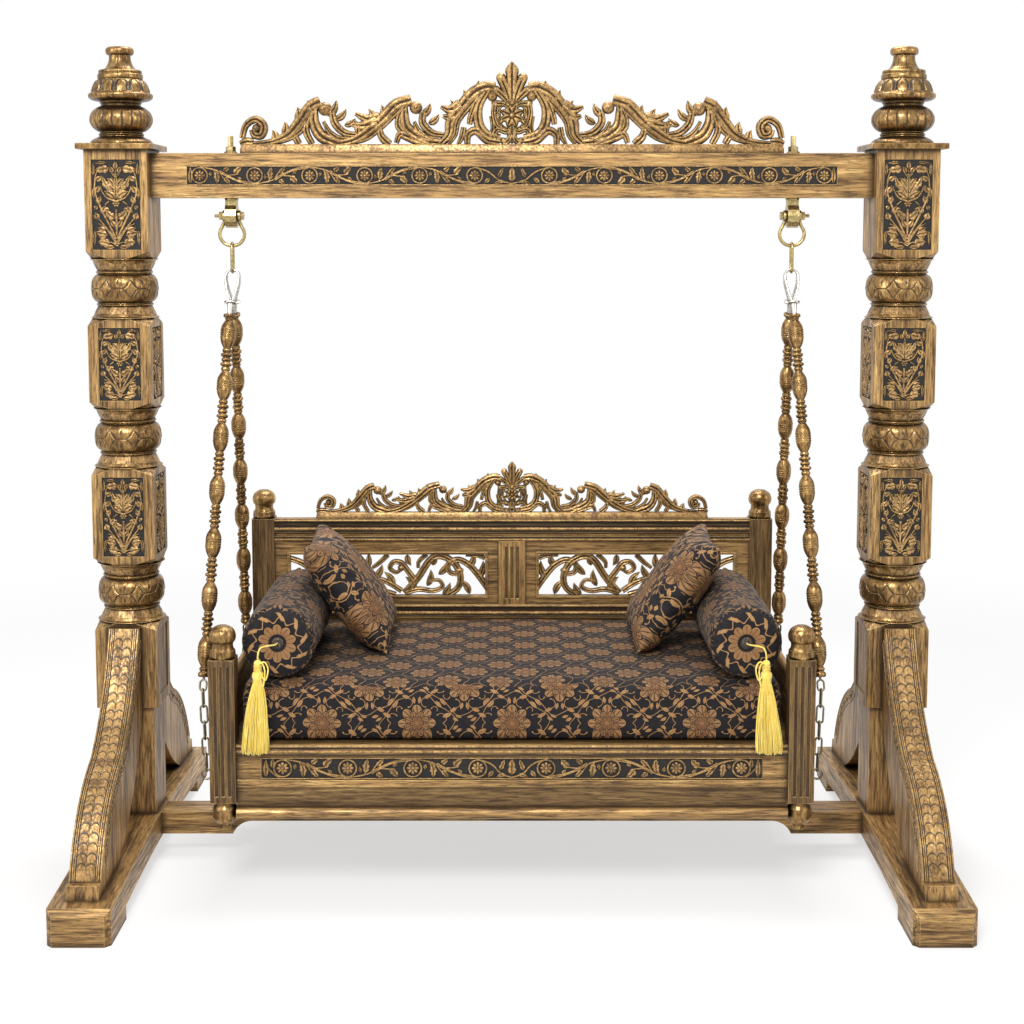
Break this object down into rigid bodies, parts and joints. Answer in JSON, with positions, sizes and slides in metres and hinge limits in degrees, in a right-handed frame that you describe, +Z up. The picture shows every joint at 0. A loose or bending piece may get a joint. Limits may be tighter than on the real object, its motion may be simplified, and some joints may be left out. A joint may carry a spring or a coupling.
{
  "type": "jhoola swing",
  "caption": "Carved indoor swing: two turned posts on sledge feet, a crested crossbeam, and a cushioned seat hung on turned rods and short chains.",
  "frame": {"origin": "on the floor, under the middle of the stand", "axes": "+X to the right as seen from the front, along the crossbeam; -Y to the front; +Z up"},
  "size_m": [2.215, 1.282, 2.13],
  "materials": {
    "gilded_wood": "carved wood, brushed antique gold over a dark ground",
    "pierced_carving": "pierced carving, antique gold on the raised work",
    "turned_rods": "turned wood, brushed antique gold over a dark ground",
    "deck_board": "plain dark stained board",
    "zinc_hardware": "yellow zinc plated steel",
    "bright_wire": "bright steel wire",
    "chain_metal": "dull nickel plated chain",
    "damask": "charcoal damask with bronze flowers",
    "silk": "bright yellow silk"
  },
  "bodies": {
    "stand": {"crossbeam": "gilded_wood", "crossbeam_crest": "pierced_carving", "hanger_bearings": "zinc_hardware", "hanger_nuts": "zinc_hardware", "left_finial": "gilded_wood", "left_foot_beam": "gilded_wood", "left_front_brace": "gilded_wood", "left_post": "gilded_wood", "left_rear_brace": "gilded_wood", "right_finial": "gilded_wood", "right_foot_beam": "gilded_wood", "right_front_brace": "gilded_wood", "right_post": "gilded_wood", "right_rear_brace": "gilded_wood", "stretcher": "gilded_wood"},
    "swing": {"back_bottom_rail": "gilded_wood", "back_centre_stile": "gilded_wood", "back_crest": "pierced_carving", "back_top_rail": "gilded_wood", "front_apron": "gilded_wood", "front_bottom_rail": "gilded_wood", "front_left_seat_post": "gilded_wood", "front_right_seat_post": "gilded_wood", "left_arm_panel": "gilded_wood", "left_back_panel": "pierced_carving", "left_bolster": "damask", "left_front_chain": "chain_metal", "left_front_rod": "turned_rods", "left_link": "zinc_hardware", "left_pillow": "damask", "left_rear_chain": "chain_metal", "left_rear_rod": "turned_rods", "left_side_rail": "gilded_wood", "left_tassel": "silk", "left_tassel_cord": "silk", "mattress": "damask", "pivot_pins": "zinc_hardware", "rear_apron": "gilded_wood", "rear_left_seat_post": "gilded_wood", "rear_right_seat_post": "gilded_wood", "right_arm_panel": "gilded_wood", "right_back_panel": "pierced_carving", "right_bolster": "damask", "right_front_chain": "chain_metal", "right_front_rod": "turned_rods", "right_link": "zinc_hardware", "right_pillow": "damask", "right_rear_chain": "chain_metal", "right_rear_rod": "turned_rods", "right_side_rail": "gilded_wood", "right_tassel": "silk", "right_tassel_cord": "silk", "rod_eyes": "bright_wire", "seat_deck": "deck_board", "seat_eye_screws": "chain_metal", "shackles": "zinc_hardware"}
  },
  "joints": [
    {"name": "swing_hinge", "type": "hinge", "parent": "stand", "child": "swing", "pos_m": [0, 0, 1.698], "axis": [1, 0, 0], "range_deg": [-20, 20]}
  ]
}
